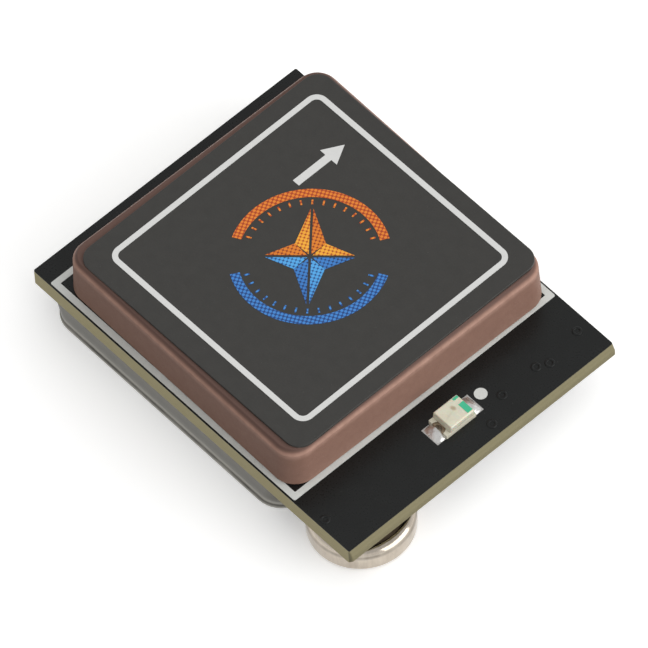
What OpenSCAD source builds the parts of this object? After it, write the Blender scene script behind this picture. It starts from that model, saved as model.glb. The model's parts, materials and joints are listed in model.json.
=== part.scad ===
// Satellite positioning receiver module: a ceramic patch antenna on a small black board,
// with a status lamp beside it and the receiver under a metal can on the underside.
// Millimetres, +Z up. The origin is on the surface the module lies on, under the middle of its outline.
// The board's long side runs along X, and the lamp is at the +X end.

/* [Board] */
// Length of the board
board_l = 24.6; // [23:0.1:30]
// How far the board stands out past the antenna block on each side
board_margin = 0.26; // [0.25:0.01:2]
// Thickness over both solder masks
board_t = 1.2; // [0.8:0.1:1.6]
// Radius of the board's corners
board_corner_r = 0.1; // [0.1:0.1:1]
// Thickness of each solder mask
mask_t = 0.03; // [0.02:0.01:0.06]
// Thickness of the printed legend
legend_t = 0.03; // [0.02:0.01:0.05]
// Width of the legend's line
legend_line = 0.38; // [0.2:0.01:0.6]
// How far the legend's outline stands out past the block's ends
legend_end_margin = 0.43; // [0.3:0.01:0.6]
// How far the legend's outline stands out past the block's sides
legend_side_margin = 0.16; // [0.1:0.01:0.25]
// How far the legend's outline is set back from the block's middle
legend_shift = 0.19; // [0:0.01:0.3]
// Diameter of the legend's dot
dot_d = 0.72; // [0.4:0.01:1]
// Gap between the dot and the lamp's pads
dot_gap = 0.18; // [0.1:0.02:0.4]
// How far the dot is set back from the lamp's middle
dot_shift = 0.18; // [0:0.02:0.4]

/* [Antenna] */
// Side of the square ceramic block at its foot
ceramic_side = 18.2; // [16.2:0.1:20]
// Height of the ceramic block
ceramic_h = 2.8; // [2:0.1:5]
// Radius of the block's upright corners
ceramic_corner_r = 1.35; // [0.6:0.05:2]
// Chamfer round the block's top
ceramic_chamfer = 0.25; // [0.1:0.05:0.4]
// Chamfer round the block's foot
ceramic_foot = 0.03; // [0.02:0.01:0.2]
// How far each side of the block leans in on its way up to the chamfer
ceramic_draft = 0.1; // [0.02:0.01:0.15]
// How far back from each corner of the chamfer its softening starts
ceramic_soft = 0.1; // [0.05:0.01:0.15]
// Distance of the block's middle from the board's middle, along the board
antenna_x = -1.33; // [-2:0.01:-1]
// Distance of the block's middle from the board's middle, across the board
antenna_y = 0.17; // [-0.2:0.01:0.2]
// Angle at which the block was set down
antenna_turn = -0.6; // [-1:0.1:1]
// Thickness of the adhesive under the block
adhesive_t = 0.05; // [0.05:0.01:0.3]
// How far the adhesive stays inside the block
adhesive_inset = 0.8; // [0.5:0.1:1.5]
// Thickness of the fired silver electrodes
electrode_t = 0.03; // [0.02:0.01:0.05]
// How far the radiating electrode on top stays inside the block
electrode_inset = 1.8; // [1:0.1:3]
// Diameter of the feed pin
pin_d = 0.9; // [0.6:0.1:1.2]
// Diameter of the feed pin's head
pin_head_d = 1.8; // [1.4:0.1:2.4]
// Thickness of the feed pin's head
pin_head_t = 0.06; // [0.03:0.01:0.08]
// Distance of the feed pin from the block's middle
pin_offset = 1.7; // [1:0.1:2.5]
// How far the feed pin stands out under the board
pin_tail = 0.5; // [0.3:0.05:0.8]

/* [Label] */
// Gap between the label and the chamfer round the block's top
label_inset = 0.05; // [0.05:0.05:1]
// Thickness of the label
label_t = 0.12; // [0.1:0.01:0.2]
// Radius of the label's corners
label_corner_r = 0.95; // [0.5:0.05:2]
// Angle at which the label was put on, measured on the block
label_turn = 1.1; // [-1.2:0.1:1.2]
// Distance of the label's middle from the block's middle, along the board
label_x = 0.15; // [-0.2:0.01:0.2]
// Distance of the label's middle from the block's middle, across the board
label_y = 0.14; // [-0.2:0.01:0.2]
// Distance from the label's edge to the middle of the printed border's line
border_inset = 1.325; // [0.6:0.025:2]
// Width of the border's line
border_line = 0.32; // [0.2:0.02:0.5]
// Radius of the border's corners, on the middle of its line
border_corner_r = 0.55; // [0.3:0.05:2]
// Distance of the border's middle from the label's middle, across the board
border_y = 0.08; // [-0.3:0.01:0.3]
// Thickness of the printed ink
ink_t = 0.02; // [0.01:0.01:0.03]

/* [Status lamp] */
// Length of the lamp, across the board
lamp_l = 2.1; // [1.6:0.1:2.2]
// Width of the lamp
lamp_w = 1.4; // [0.8:0.05:1.4]
// Thickness of the lamp's base
lamp_base_t = 0.3; // [0.2:0.05:0.4]
// Height of the lens above the base
lens_h = 0.42; // [0.3:0.02:0.6]
// Length of the lens at its foot
lens_l = 1.8; // [1.1:0.02:1.84]
// How much each sloped face of the lens leans in
lens_draft = 0.09; // [0.04:0.01:0.14]
// How far the lens is set towards the lamp's marked end
lens_shift = 0.12; // [0:0.01:0.12]
// Radius of the metal round the notch in each end of the lamp
lamp_end = 0.42; // [0.3:0.02:0.5]
// Radius of the half-round notch in each end
lamp_notch_r = 0.24; // [0.15:0.01:0.28]
// Distance of the lamp's middle from the end of the board
lamp_edge = 2.3; // [1.5:0.1:2.6]
// Distance of the lamp's middle from the board's middle, across the board
lamp_y = 0.06; // [-0.3:0.02:0.3]
// Length over the lamp's two pads
lamp_pads_l = 3.26; // [2.8:0.02:3.6]

/* [Backup cell] */
// Diameter of the coin cell
cell_d = 5.9; // [4.8:0.1:5.9]
// Height of the coin cell
cell_h = 1.8; // [1.5:0.05:1.8]
// How far the cell stands out past the end of the board
cell_overhang = 0.5; // [0:0.05:0.5]
// Radius round the bottom of the can
can_bottom_r = 0.18; // [0.1:0.02:0.3]
// Height of the can's straight wall
can_wall_h = 1; // [0.7:0.05:1.05]
// Radius of the can's rolled-in rim
can_rim_r = 0.5; // [0.3:0.05:0.7]
// Thickness of the gasket between can and cap
gasket_t = 0.24; // [0.1:0.02:0.24]
// Thickness of the welded tabs
tab_t = 0.1; // [0.08:0.01:0.1]
// Width of the welded tabs
tab_w = 1.6; // [1.2:0.1:1.8]
// Length of the soldered foot of each tab
tab_foot = 1.1; // [0.8:0.1:1.4]

/* [Shield can] */
// Gap between the shield can and the board's free end
shield_end_gap = 0.65; // [0.3:0.05:0.9]
// Gap between the shield can and the long board edges
shield_edge = 0.1; // [0.05:0.05:0.4]
// Height of the shield can
shield_h = 2; // [2:0.1:3]
// Thickness of its sheet
shield_t = 0.2; // [0.1:0.02:0.25]
// Radius of its upright corners
shield_corner_r = 1; // [0.8:0.1:1.4]
// Radius of its folded edge
shield_bend_r = 0.3; // [0.26:0.02:0.5]
// Gap between the shield can and the coin cell
shield_cell_gap = 0.2; // [0.15:0.05:0.6]

/* [Receiver parts] */
// Side of the square receiver chip
receiver_side = 4; // [3.6:0.1:4.4]
// Thickness of the receiver chip's body
receiver_h = 0.6; // [0.4:0.05:0.9]
// Pads along each side of the receiver chip
receiver_pads = 7; // [5:1:9]
// Distance from pad to pad
receiver_pitch = 0.45; // [0.4:0.01:0.46]
// Thickness of chip pads and their solder
pad_t = 0.05; // [0.03:0.01:0.08]
// Length of the small chip resistors, capacitors and coils
chip_l = 1; // [0.8:0.05:1.1]
// Width of the small chips
chip_w = 0.5; // [0.4:0.05:0.6]
// Length of each metal end of the small chips
chip_end = 0.25; // [0.2:0.01:0.3]
// Height of the capacitors and coils
chip_h = 0.5; // [0.35:0.05:0.6]
// Height of the resistors
resistor_h = 0.35; // [0.3:0.05:0.5]
// Connection pads on the underside
link_pads = 4; // [2:1:4]
// Distance from one connection pad to the next
link_pitch = 2.4; // [2:0.1:2.5]
// Length of a connection pad
link_pad_l = 2.2; // [1.5:0.1:2.6]
// Width of a connection pad
link_pad_w = 1.4; // [1:0.1:1.7]
// Distance of the connection pads from the board's edges
link_edge = 0.5; // [0.3:0.1:0.8]

/* [Hidden] */
$fn = 48;
// Segments round the coin cell
CELL_FN = 96;
// Steps in a quarter of a rounded profile
ARC_STEPS = 6;
// Steps in the softening of a profile's corner
EASE_STEPS = 4;
// Clearance round a pin in its hole
PIN_CLEAR = 0.05;
// Clearance of the lamp's print and solder from its edges
MARK_CLEAR = 0.03;
// How far a cut runs past the faces that it goes through
CUT = 1;
// Smallest radius inside a printed line's corner
LINE_R = 0.05;

// The board is as wide as the antenna block and a margin on each side
board_w = ceramic_side + 2 * board_margin;
// The cell stands out past the board, so the board sits half of that off the middle
board_x = -cell_overhang / 2;
under_z = shield_h;
top_z = under_z + board_t;

// Levels in the antenna's stack, measured from the top of the board
ground_z = top_z + adhesive_t;
ceramic_z = ground_z + electrode_t;
radiator_z = ceramic_z + ceramic_h;
label_top_z = radiator_z + electrode_t + label_t;

electrode_side = ceramic_side - 2 * electrode_inset;
electrode_corner_r = 0.3;
label_side = ceramic_side - 2 * (ceramic_draft + ceramic_chamfer + label_inset);
border_side = label_side - 2 * border_inset;

legend_l = ceramic_side + 2 * legend_end_margin;
legend_w = ceramic_side + 2 * legend_side_margin;
legend_x = antenna_x - legend_shift;
legend_corner_r = 0.1;
dot_y = lamp_y + lamp_pads_l / 2 + dot_gap + dot_d / 2;

lamp_x = board_l / 2 - lamp_edge;
// How far the lamp's pads stay inside its width
lamp_pad_inset = 0.06;
lamp_pad_w = lamp_w - 2 * lamp_pad_inset;
lamp_pad_gap = lamp_l - 2 * lamp_end;
// Printed marks on the lens: the length of each bar, and their width
mark_short = 0.14;
mark_long = 0.72;
mark_w = 0.34;
// Radius along the lens's top edges
lens_round = 0.1;
// How far the lamp's solder stays inside its pad, and below the top of the lamp's base
fillet_back = 0.04;
fillet_below = 0.05;
// Solder round the feed pin: its wall at the tip, and how much of the pin it leaves bare
pin_solder_wall = 0.08;
pin_bare = 0.1;

cell_r = cell_d / 2;
cell_x = board_l / 2 + cell_overhang - cell_r;
cell_y = -board_w / 2 + cell_r;
can_mouth_r = cell_r - can_rim_r;
cap_r = can_mouth_r - gasket_t;
can_rim_z = can_wall_h + can_rim_r;
cap_seat = 0.1;
cap_seat_z = can_wall_h - cap_seat;
gasket_recess = 0.04;
tab_gap = 0.45;
tab_reach = cell_r + tab_gap;
tab_weld = 1;
tab_spread = 0.35;
tab_shift = tab_w / 2 + tab_spread;
foot_pad_margin = 0.15;

shield_w = board_w - 2 * shield_edge;
shield_left = -board_l / 2 + shield_end_gap;
shield_right = cell_x - cell_r - shield_cell_gap;
shield_l = shield_right - shield_left;
shield_x = (shield_left + shield_right) / 2;
// Soldered land under the can's edge: its width, and how far it stands out past the can
land_w = 0.6;
land_out = 0.05;

// Parts under the can: length, width and height, and the place of each, along the board from the can's
// free end and across it from the middle
oscillator_size = [2, 1.6, 0.55];
crystal_size = [3.2, 1.5, 0.6];
filter_size = [1.4, 1.1, 0.5];
amplifier_size = [1.1, 0.7, 0.4];
lid_h = 0.15;
lid_rim = 0.12;
receiver_at = [5.6, -3.2];
oscillator_at = [5.6, 1.6];
crystal_at = [2.2, -3.2];
filter_at = [13.1, 0.2];
amplifier_at = [13.2, 3.2];
regulator_at = [14.5, -5];

// Voltage regulator: its body stands clear of the board on five bent leads
regulator_size = [2.9, 1.6, 1];
regulator_stand = 0.1;
regulator_span = 2.8;
regulator_pitch = 0.95;
regulator_corner_r = 0.12;
regulator_low_draft = 0.06;
regulator_top_draft = 0.1;
lead_out = 0.2;
lead_t = 0.15;
lead_w = 0.4;

// Small chips: place and turn of each
capacitor_places = [
    [5.6, -6.4, 0], [7.6, -6.4, 0], [3.6, -6.4, 0], [8.7, -3.6, 90], [8.7, -1.8, 90], [2.2, -0.6, 0],
    [7.6, 1.4, 90], [14.8, 3.2, 90], [14.7, 0.2, 90], [12, -4.2, 90], [12, -5.9, 90], [16, -1.8, 0]
];
resistor_places = [[2.2, 2.4, 0], [2.2, 4, 0], [16.2, 1.4, 90], [16.2, 3.4, 90], [14.5, -2.6, 0]];
coil_places = [[11.4, 3.6, 90], [11.6, 0.2, 90], [13.2, 4.6, 0]];

// Points on an arc round c, from angle a to angle b
function arc(c, r, a, b, steps = ARC_STEPS) =
    [for (i = [0:steps]) c + r * [cos(a + (b - a) * i / steps), sin(a + (b - a) * i / steps)]];

// Points that soften the corner p of a profile that runs from a to b
function eased(a, p, b, back) =
    let (from = p + back * (a - p) / norm(a - p), to = p + back * (b - p) / norm(b - p))
    [for (i = [0:EASE_STEPS]) let (t = i / EASE_STEPS) (1 - t) ^ 2 * from + 2 * t * (1 - t) * p + t ^ 2 * to];

// Places children on the board's middle at a height
module on_board(z, x = 0, y = 0) {
    translate([board_x + x, y, z]) children();
}

// Hangs children from the underside, placed from the can's free end: their +Z points down
module under_can(at, turn = 0) {
    on_board(under_z, shield_left + at[0], at[1]) rotate([0, 0, turn]) mirror([0, 0, 1]) children();
}

// Places children on the antenna block's middle, turned as the block was set down
module on_antenna(z) {
    on_board(z, antenna_x, antenna_y) rotate([0, 0, antenna_turn]) children();
}

// Places children on the label's middle, turned as it was put on
module on_label(z) {
    on_antenna(z) translate([label_x, label_y, 0]) rotate([0, 0, label_turn]) children();
}

// Rectangle with round corners
module round_rect(l, w, r) {
    square([l - 2 * r, w], center = true);
    square([l, w - 2 * r], center = true);
    for (x = [-1, 1], y = [-1, 1]) translate([x * (l / 2 - r), y * (w / 2 - r)]) circle(r);
}

// Square line with round corners, l by w on its outside
module round_frame(l, w, r, line) {
    difference() {
        round_rect(l, w, r);
        round_rect(l - 2 * line, w - 2 * line, max(r - line, LINE_R));
    }
}

module plate(l, w, r, h) {
    linear_extrude(h) round_rect(l, w, r);
}

// Upright bar of a section that is the same on both sides: edge is a list of [inset, height]
module edge_bar(across, along, edge) {
    right = [for (p = edge) [across / 2 - p[0], p[1]]];
    left = [for (i = [len(edge) - 1:-1:0]) [edge[i][0] - across / 2, edge[i][1]]];
    rotate([90, 0, 0]) linear_extrude(along, center = true) polygon(concat(right, left));
}

// Block with round upright corners whose edges follow a list of [inset, height]
module edge_block(l, w, r, edge) {
    edge_bar(l, w - 2 * r, edge);
    rotate([0, 0, 90]) edge_bar(w, l - 2 * r, edge);
    corner = concat(
        [[0, edge[0][1]]],
        [for (p = edge) [r - p[0], p[1]]],
        [[0, edge[len(edge) - 1][1]]]
    );
    for (x = [-1, 1], y = [-1, 1]) {
        translate([x * (l / 2 - r), y * (w / 2 - r), 0]) rotate_extrude() polygon(corner);
    }
}

// Board

// Hole for the feed pin, through whatever lies between two heights
module pin_hole(z, h) {
    on_antenna(z - CUT) translate([0, pin_offset, 0]) cylinder(d = pin_d + 2 * PIN_CLEAR, h = h + 2 * CUT);
}

module board_layer(z, h) {
    difference() {
        on_board(z) plate(board_l, board_w, board_corner_r, h);
        pin_hole(z, h);
    }
}

module lamp_pad_shapes() {
    pad_l = (lamp_pads_l - lamp_pad_gap) / 2;
    for (side = [-1, 1]) {
        y = lamp_y + side * (lamp_pads_l - pad_l) / 2;
        translate([lamp_x, y]) square([lamp_pad_w, pad_l], center = true);
    }
}

module link_pad_shapes() {
    x = board_l / 2 - link_edge - link_pad_l / 2;
    y = board_w / 2 - link_edge - link_pad_w / 2;
    for (i = [0:link_pads - 1]) {
        translate([x, y - i * link_pitch]) square([link_pad_l, link_pad_w], center = true);
    }
}

module foot_pad_shapes() {
    y = cell_y + tab_reach + tab_foot / 2;
    size = [tab_w + 2 * foot_pad_margin, tab_foot + 2 * foot_pad_margin];
    for (side = [-1, 1]) translate([cell_x + side * tab_shift, y]) square(size, center = true);
}

module shield_land_shape() {
    outside = 2 * land_out;
    translate([shield_x, 0])
        round_frame(shield_l + outside, shield_w + outside, shield_corner_r + land_out, land_w);
}

module board_core() {
    color("darkkhaki") board_layer(under_z + mask_t, board_t - 2 * mask_t);
}

module solder_mask_top() {
    z = top_z - mask_t;
    color([0.11, 0.11, 0.1]) difference() {
        board_layer(z, mask_t);
        on_board(z - mask_t) linear_extrude(3 * mask_t) lamp_pad_shapes();
    }
}

module solder_mask_bottom() {
    color([0.11, 0.11, 0.1]) difference() {
        board_layer(under_z, mask_t);
        on_board(under_z - mask_t) linear_extrude(3 * mask_t) {
            link_pad_shapes();
            foot_pad_shapes();
            shield_land_shape();
        }
    }
}

module board_legend() {
    color([0.72, 0.73, 0.7]) {
        on_board(top_z, legend_x) linear_extrude(legend_t)
            round_frame(legend_l, legend_w, legend_corner_r, legend_line);
        on_board(top_z, lamp_x - dot_shift, dot_y) cylinder(d = dot_d, h = legend_t);
    }
}

module lamp_pads() {
    color("silver") on_board(top_z - mask_t) linear_extrude(mask_t) lamp_pad_shapes();
}

module connection_pads() {
    color("silver") on_board(under_z) linear_extrude(mask_t) link_pad_shapes();
}

module battery_pads() {
    color("silver") on_board(under_z) linear_extrude(mask_t) foot_pad_shapes();
}

module shield_land() {
    color("silver") on_board(under_z) linear_extrude(mask_t) shield_land_shape();
}

// Antenna

module antenna_adhesive() {
    side = ceramic_side - 2 * adhesive_inset;
    color([0.2, 0.2, 0.2]) difference() {
        on_antenna(top_z) plate(side, side, ceramic_corner_r, adhesive_t);
        pin_hole(top_z, adhesive_t);
    }
}

module antenna_ground_electrode() {
    side = ceramic_side - 2 * ceramic_foot - 2 * electrode_t;
    color("silver") difference() {
        on_antenna(ground_z) plate(side, side, ceramic_corner_r - ceramic_foot, electrode_t);
        pin_hole(ground_z, electrode_t);
    }
}

module antenna_ceramic() {
    foot = [0, ceramic_foot];
    shoulder = [ceramic_draft, ceramic_h - ceramic_chamfer];
    brow = shoulder + [ceramic_chamfer, ceramic_chamfer];
    inward = [1, 0];
    edge = concat(
        [[ceramic_foot, 0], foot],
        eased(foot, shoulder, brow, ceramic_soft),
        eased(shoulder, brow, brow + inward, ceramic_soft)
    );
    color([0.52, 0.41, 0.36]) difference() {
        on_antenna(ceramic_z) edge_block(ceramic_side, ceramic_side, ceramic_corner_r, edge);
        pin_hole(ceramic_z, ceramic_h);
    }
}

module antenna_top_electrode() {
    color("silver") difference() {
        on_antenna(radiator_z) plate(electrode_side, electrode_side, electrode_corner_r, electrode_t);
        pin_hole(radiator_z, electrode_t);
    }
}

module antenna_feed_pin() {
    head_z = radiator_z + electrode_t;
    tail_z = under_z - pin_tail;
    pin_l = head_z + pin_head_t - tail_z;
    color("gold") {
        on_antenna(head_z) translate([0, pin_offset, 0]) cylinder(d = pin_head_d, h = pin_head_t);
        on_antenna(tail_z) translate([0, pin_offset, 0]) cylinder(d = pin_d, h = pin_l);
    }
}

// Cone of solder round the pin's tail
module feed_pin_solder() {
    foot_r = pin_d;
    tip_r = pin_d / 2 + pin_solder_wall;
    height = pin_tail - pin_bare;
    color("gainsboro") on_antenna(under_z) translate([0, pin_offset, -height]) difference() {
        cylinder(r1 = tip_r, r2 = foot_r, h = height);
        translate([0, 0, -CUT]) cylinder(d = pin_d, h = height + 2 * CUT);
    }
}

module label() {
    color([0.26, 0.25, 0.24]) difference() {
        on_label(radiator_z) plate(label_side, label_side, label_corner_r, electrode_t + label_t);
        on_antenna(radiator_z - electrode_t)
            plate(electrode_side, electrode_side, electrode_corner_r, 2 * electrode_t);
        on_antenna(radiator_z) translate([0, pin_offset, 0])
            cylinder(d = pin_head_d, h = electrode_t + pin_head_t);
    }
}

module label_border() {
    outside = border_side + border_line;
    color("whitesmoke") on_label(label_top_z) translate([0, border_y, 0]) linear_extrude(ink_t)
        round_frame(outside, outside, border_corner_r + border_line / 2, border_line);
}

// Status lamp

// Both ends of the lamp in turn: children are drawn for the +Y end
module lamp_both_ends() {
    for (side = [0, 180]) rotate([0, 0, side]) children();
}

// Half-round cut in both ends of the lamp, through a height
module lamp_cuts(r, h) {
    lamp_both_ends() translate([0, lamp_l / 2, -CUT]) cylinder(r = r, h = h + 2 * CUT);
}

module lamp_slab() {
    translate([-lamp_w / 2, -lamp_l / 2, 0]) cube([lamp_w, lamp_l, lamp_base_t]);
}

module lamp_base() {
    color([0.86, 0.85, 0.78]) on_board(top_z, lamp_x, lamp_y) difference() {
        lamp_slab();
        lamp_cuts(lamp_end, lamp_base_t);
    }
}

// Half ring of metal round the notch in each end
module lamp_ends() {
    color("silver") on_board(top_z, lamp_x, lamp_y) difference() {
        intersection() {
            lamp_slab();
            lamp_cuts(lamp_end, lamp_base_t);
        }
        lamp_cuts(lamp_notch_r, lamp_base_t);
    }
}

// Lens with sloped ends and a rounded top edge along its length
module lamp_lens() {
    side = lamp_w / 2;
    section = concat(
        [[-side, 0], [side, 0]],
        arc([side - lens_round, lens_h - lens_round], lens_round, 0, 90),
        arc([-side + lens_round, lens_h - lens_round], lens_round, 90, 180)
    );
    slope = [
        [-lens_l / 2, 0], [lens_l / 2, 0],
        [lens_l / 2 - lens_draft, lens_h], [-lens_l / 2 + lens_draft, lens_h]
    ];
    color([0.93, 0.91, 0.8]) on_board(top_z + lamp_base_t, lamp_x, lamp_y + lens_shift) intersection() {
        rotate([90, 0, 0]) linear_extrude(lens_l, center = true) polygon(section);
        rotate([90, 0, 90]) linear_extrude(lamp_w, center = true) polygon(slope);
    }
}

// Green print on the lens at the lamp's negative end: a short bar and a long one
module lamp_marks() {
    reach = lamp_w / 2 - lens_round;
    from = lens_l / 2 - lens_draft - MARK_CLEAR - mark_w;
    color([0.1, 0.75, 0.5]) on_board(top_z + lamp_base_t + lens_h, lamp_x, lamp_y + lens_shift) {
        translate([-reach, from, 0]) cube([mark_short, mark_w, ink_t]);
        translate([reach - mark_long, from, 0]) cube([mark_long, mark_w, ink_t]);
    }
}

// Hollow fillet of solder from each pad's outer edge up the lamp's end
module lamp_solder() {
    reach = (lamp_pads_l - lamp_l) / 2 - fillet_back;
    rise = lamp_base_t - fillet_below;
    across = lamp_pad_w - 2 * MARK_CLEAR;
    turns = [for (i = [0:ARC_STEPS]) 90 * i / ARC_STEPS];
    curve = [for (a = turns) [reach * (1 - sin(a)), rise * (1 - cos(a))]];
    color("gainsboro") on_board(top_z, lamp_x, lamp_y) lamp_both_ends() translate([0, lamp_l / 2, 0])
        rotate([90, 0, 90]) linear_extrude(across, center = true) polygon(concat([[0, 0]], curve));
}

// Backup cell, standing cap upwards against the board

module on_cell() {
    on_board(under_z - tab_t - cell_h, cell_x, cell_y) children();
}

module battery_can() {
    outline = concat(
        [[0, 0]],
        arc([cell_r - can_bottom_r, can_bottom_r], can_bottom_r, -90, 0),
        arc([cell_r - can_rim_r, can_wall_h], can_rim_r, 0, 90),
        [[can_mouth_r, cap_seat_z], [0, cap_seat_z]]
    );
    color([0.8, 0.77, 0.72]) on_cell() rotate_extrude($fn = CELL_FN) polygon(outline);
}

module battery_gasket() {
    height = can_rim_z - cap_seat_z - gasket_recess;
    color([0.16, 0.15, 0.14]) on_cell() translate([0, 0, cap_seat_z]) difference() {
        cylinder(r = can_mouth_r, h = height, $fn = CELL_FN);
        translate([0, 0, -CUT]) cylinder(r = cap_r, h = height + 2 * CUT, $fn = CELL_FN);
    }
}

module battery_cap() {
    round_r = 0.2;
    outline = concat(
        [[0, cap_seat_z], [cap_r, cap_seat_z]],
        arc([cap_r - round_r, cell_h - round_r], round_r, 0, 90),
        [[0, cell_h]]
    );
    color([0.78, 0.76, 0.73]) on_cell() rotate_extrude($fn = CELL_FN) polygon(outline);
}

// Strip under the can that rises beside it to its foot on the board
module battery_positive_tab() {
    low = -tab_t;
    high = cell_h;
    strip = [
        [-tab_weld, low], [tab_reach + tab_t, low], [tab_reach + tab_t, high],
        [tab_reach + tab_foot, high], [tab_reach + tab_foot, high + tab_t],
        [tab_reach, high + tab_t], [tab_reach, low + tab_t], [-tab_weld, low + tab_t]
    ];
    color("silver") on_cell() translate([-tab_shift, 0, 0])
        rotate([90, 0, 90]) linear_extrude(tab_w, center = true) polygon(strip);
}

// Flat strip between the cap and the board
module battery_negative_tab() {
    color("silver") on_cell() translate([tab_shift - tab_w / 2, -tab_weld, cell_h])
        cube([tab_w, tab_weld + tab_reach + tab_foot, tab_t]);
}

// Shield can, drawn from one sheet

module shield_can() {
    inner_l = shield_l - 2 * shield_t;
    inner_w = shield_w - 2 * shield_t;
    inner_r = shield_bend_r - shield_t;
    outer = concat(
        arc([shield_bend_r, shield_bend_r], shield_bend_r, -90, -180),
        [[0, shield_h]]
    );
    inner = concat(
        arc([inner_r, shield_bend_r], inner_r, -90, -180),
        [[0, shield_h + CUT]]
    );
    color([0.62, 0.6, 0.57]) on_board(0, shield_x) difference() {
        edge_block(shield_l, shield_w, shield_corner_r, outer);
        edge_block(inner_l, inner_w, shield_corner_r - shield_t, inner);
    }
}

// Parts under the can

module block(size, z = 0) {
    translate([-size[0] / 2, -size[1] / 2, z]) cube(size);
}

module receiver_chip() {
    mark_r = 0.25;
    mark_depth = 0.03;
    mark_at = receiver_side / 2 - 3 * mark_r;
    color([0.13, 0.13, 0.13]) under_can(receiver_at) difference() {
        block([receiver_side, receiver_side, receiver_h], pad_t);
        translate([-mark_at, mark_at, pad_t + receiver_h - mark_depth]) cylinder(r = mark_r, h = CUT);
    }
}

module receiver_chip_pads() {
    pad_l = 0.4;
    pad = [pad_l, receiver_pitch / 2, pad_t];
    stand_out = 0.08;
    ground_inset = 0.75;
    ground_side = receiver_side - 2 * ground_inset;
    x = receiver_side / 2 + stand_out - pad_l / 2;
    color("silver") under_can(receiver_at) {
        block([ground_side, ground_side, pad_t]);
        for (side = [0:3], i = [0:receiver_pads - 1]) {
            y = (i - (receiver_pads - 1) / 2) * receiver_pitch;
            rotate([0, 0, 90 * side]) translate([x, y, 0]) block(pad);
        }
    }
}

// Welded lid on a ceramic package
module package_lid(size) {
    translate([0, 0, size[2]]) plate(size[0] - 2 * lid_rim, size[1] - 2 * lid_rim, lid_rim, lid_h);
}

module oscillator_base() {
    color([0.75, 0.7, 0.6]) under_can(oscillator_at) block(oscillator_size);
}

module oscillator_lid() {
    color("silver") under_can(oscillator_at) package_lid(oscillator_size);
}

module crystal_base() {
    color([0.75, 0.7, 0.6]) under_can(crystal_at, 90) block(crystal_size);
}

module crystal_lid() {
    color("silver") under_can(crystal_at, 90) package_lid(crystal_size);
}

module saw_filter() {
    color([0.3, 0.29, 0.27]) under_can(filter_at) block(filter_size);
}

module amplifier() {
    color([0.13, 0.13, 0.13]) under_can(amplifier_at) block(amplifier_size);
}

module regulator_body() {
    height = regulator_size[2];
    edge = [[regulator_low_draft, 0], [0, height / 2], [regulator_top_draft, height]];
    color([0.13, 0.13, 0.13]) under_can(regulator_at) translate([0, 0, regulator_stand])
        edge_block(regulator_size[0], regulator_size[1], regulator_corner_r, edge);
}

// One bent lead, from the body's side down to its foot on the board
module regulator_lead(x) {
    exit_z = regulator_stand + regulator_size[2] / 2;
    from = regulator_size[1] / 2;
    knee = from + lead_out;
    toe = regulator_span / 2;
    bent = [
        [from, exit_z - lead_t / 2], [knee, exit_z - lead_t / 2], [knee, 0], [toe, 0], [toe, lead_t],
        [knee + lead_t, lead_t], [knee + lead_t, exit_z + lead_t / 2], [from, exit_z + lead_t / 2]
    ];
    translate([x, 0, 0]) rotate([90, 0, 90]) linear_extrude(lead_w, center = true) polygon(bent);
}

module regulator_leads() {
    color("silver") under_can(regulator_at) {
        for (i = [-1, 0, 1]) regulator_lead(i * regulator_pitch);
        for (i = [-1, 1]) mirror([0, 1, 0]) regulator_lead(i * regulator_pitch);
    }
}

module chip_bodies(places, h) {
    for (p = places) under_can(p, p[2]) block([chip_l - 2 * chip_end, chip_w, h]);
}

module chip_ends(places, h) {
    for (p = places, side = [-1, 1]) under_can(p, p[2])
        translate([side * (chip_l - chip_end) / 2, 0, 0]) block([chip_end, chip_w, h]);
}

module capacitor_bodies() {
    color([0.66, 0.55, 0.42]) chip_bodies(capacitor_places, chip_h);
}

module capacitor_ends() {
    color("silver") chip_ends(capacitor_places, chip_h);
}

module resistor_bodies() {
    color([0.12, 0.12, 0.13]) chip_bodies(resistor_places, resistor_h);
}

module resistor_ends() {
    color("silver") chip_ends(resistor_places, resistor_h);
}

module coil_bodies() {
    color([0.9, 0.9, 0.88]) chip_bodies(coil_places, chip_h);
}

module coil_ends() {
    color("silver") chip_ends(coil_places, chip_h);
}

board_core();
solder_mask_top();
solder_mask_bottom();
board_legend();
lamp_pads();
connection_pads();
battery_pads();
shield_land();
antenna_adhesive();
antenna_ground_electrode();
antenna_ceramic();
antenna_top_electrode();
antenna_feed_pin();
feed_pin_solder();
label();
label_border();
lamp_base();
lamp_ends();
lamp_lens();
lamp_marks();
lamp_solder();
battery_can();
battery_gasket();
battery_cap();
battery_positive_tab();
battery_negative_tab();
shield_can();
receiver_chip();
receiver_chip_pads();
oscillator_base();
oscillator_lid();
crystal_base();
crystal_lid();
saw_filter();
amplifier();
regulator_body();
regulator_leads();
capacitor_bodies();
capacitor_ends();
resistor_bodies();
resistor_ends();
coil_bodies();
coil_ends();
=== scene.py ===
"""Finish of the positioning module: board, ceramic antenna with its printed label, status lamp, shield can and
backup cell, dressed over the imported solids. Lengths are written in millimetres and built in metres."""

import json
import math

import bmesh
import bpy
from mathutils import Matrix, Vector


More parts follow.
